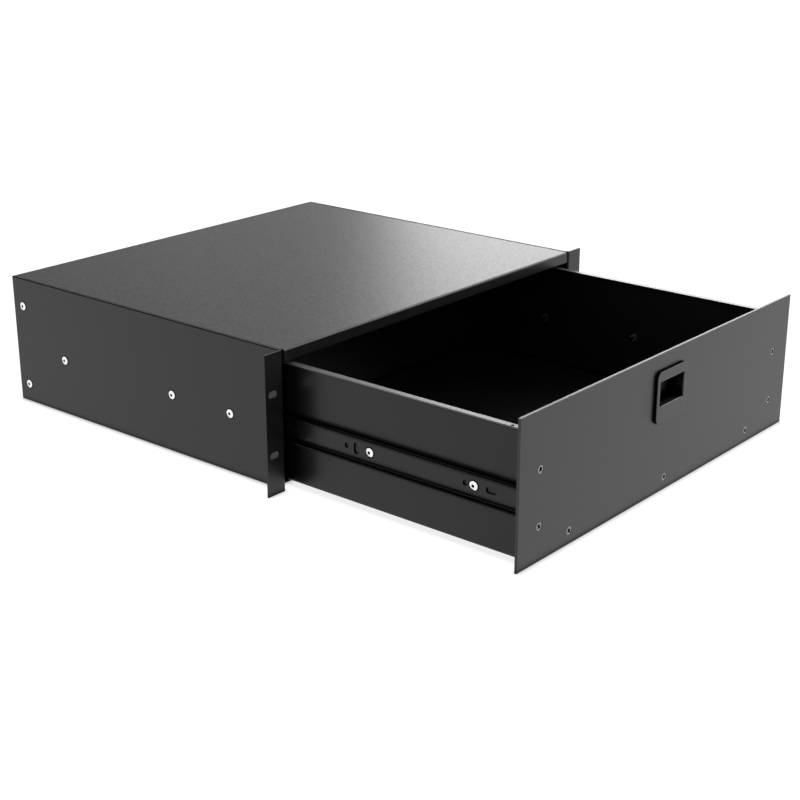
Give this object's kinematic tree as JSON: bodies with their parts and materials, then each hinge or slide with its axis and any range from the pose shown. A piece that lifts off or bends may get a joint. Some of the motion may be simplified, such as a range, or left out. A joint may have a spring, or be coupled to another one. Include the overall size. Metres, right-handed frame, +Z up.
{
  "type": "sliding rack drawer",
  "caption": "Rack-mount drawer in a steel housing: it runs out on ball-bearing slides and a finger-operated spring latch holds it shut.",
  "frame": {"origin": "centre of the rack mounting plane: midway between the four rack slots, on the rear faces of the two ears", "axes": "+X to the right seen from the front, +Y towards the rear of the rack, +Z up"},
  "size_m": [0.4826, 0.6389, 0.1324],
  "materials": {
    "housing_coat": "fine-grain black powder coat on folded steel sheet",
    "drawer_coat": "fine-grain black powder coat on folded steel sheet",
    "panel_coat": "fine-grain black powder coat on steel plate",
    "slide_coat": "black electro-coat on rolled steel",
    "zinc_fasteners": "bright zinc plate",
    "dark_screws": "black oxide",
    "cage_steel": "zinc-plated pressed strip",
    "ball_steel": "polished bearing steel",
    "latch_moulding": "fine spark-eroded texture",
    "bolt_moulding": "satin moulded acetal",
    "spring_steel": "drawn spring wire"
  },
  "bodies": {
    "housing": {"left_side_panel": "housing_coat", "right_side_panel": "housing_coat", "top_cover": "housing_coat", "bottom_plate": "housing_coat", "rear_panel": "housing_coat", "left_outer_member": "slide_coat", "right_outer_member": "slide_coat", "slide_mount_screws": "zinc_fasteners", "rear_panel_screws": "zinc_fasteners", "rear_panel_nuts": "zinc_fasteners"},
    "drawer": {"drawer_left_wall": "drawer_coat", "drawer_right_wall": "drawer_coat", "drawer_floor": "drawer_coat", "drawer_rear_wall": "drawer_coat", "left_inner_member": "slide_coat", "right_inner_member": "slide_coat", "inner_slide_screws": "zinc_fasteners", "inner_slide_nuts": "dark_screws", "front_panel": "panel_coat", "panel_screws": "dark_screws", "panel_nuts": "zinc_fasteners", "latch_housing": "latch_moulding", "latch_cover": "latch_moulding", "latch_cover_screws": "dark_screws", "latch_spring": "spring_steel"},
    "left_cage": {"left_ball_cage": "cage_steel", "left_balls": "ball_steel"},
    "right_cage": {"right_ball_cage": "cage_steel", "right_balls": "ball_steel"},
    "latch": {"latch_bolt": "bolt_moulding"}
  },
  "joints": [
    {"name": "drawer_slide", "type": "slide", "parent": "housing", "child": "drawer", "axis": [0, 1, 0], "range_m": [0, 0.254]},
    {"name": "left_cage_slide", "type": "slide", "parent": "housing", "child": "left_cage", "axis": [0, 1, 0], "range_m": [0, 0.127]},
    {"name": "right_cage_slide", "type": "slide", "parent": "housing", "child": "right_cage", "axis": [0, 1, 0], "range_m": [0, 0.127]},
    {"name": "latch_pull", "type": "slide", "parent": "drawer", "child": "latch", "axis": [0, 0, -1], "range_m": [0, 0.0065], "stiffness_N_per_m": 250, "springref_m": -0.012, "deforming": ["latch_spring"]}
  ],
  "couplings": [
    {"joint": "left_cage_slide", "follows": "drawer_slide", "ratio": 0.5},
    {"joint": "right_cage_slide", "follows": "drawer_slide", "ratio": 0.5}
  ]
}
